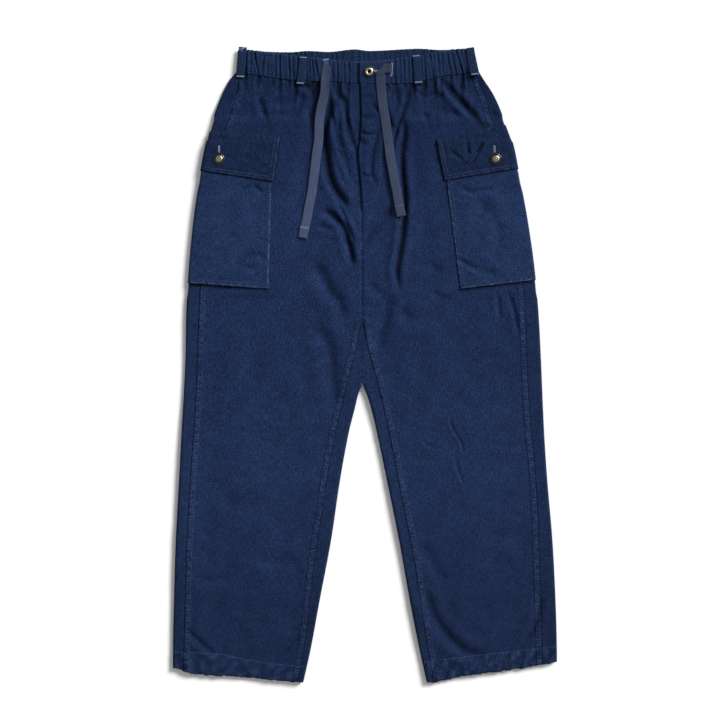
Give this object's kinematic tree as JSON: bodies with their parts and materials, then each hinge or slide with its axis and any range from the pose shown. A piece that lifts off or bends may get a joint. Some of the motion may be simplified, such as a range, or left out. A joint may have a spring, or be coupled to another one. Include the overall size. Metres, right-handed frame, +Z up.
{
  "type": "cargo trousers",
  "caption": "Navy cotton cargo trousers with a gathered drawstring waist, button fly, flapped side pockets and straight legs, laid flat with the front up.",
  "frame": {"origin": "centre of the bounding box in plan, on the floor that the trousers lie on", "axes": "+Y along the legs towards the waist, +Z up out of the front of the trousers, +X towards the right of the picture (the wearer's left)"},
  "size_m": [0.6057, 1.0015, 0.0122],
  "materials": {
    "front": "matte cotton twill",
    "back": "matte cotton twill",
    "band": "matte cotton twill",
    "pocket": "matte cotton twill",
    "flap": "matte cotton twill",
    "loop": "matte cotton twill",
    "tape": "woven cotton tape",
    "button_metal": "dark nickel-plated brass"
  },
  "bodies": {
    "root": {"front_left": "front", "front_right": "front", "back_left": "back", "back_right": "back", "waistband_front_left": "band", "waistband_front_right": "band", "waistband_back": "band", "cargo_pocket_left": "pocket", "cargo_pocket_right": "pocket", "cargo_flap_left": "flap", "cargo_flap_right": "flap", "belt_loop_left": "loop", "belt_loop_right": "loop", "belt_loop_side_left": "loop", "belt_loop_side_right": "loop", "drawstring_left": "tape", "drawstring_right": "tape", "button_fly": "button_metal", "button_left": "button_metal", "button_right": "button_metal"}
  },
  "joints": []
}
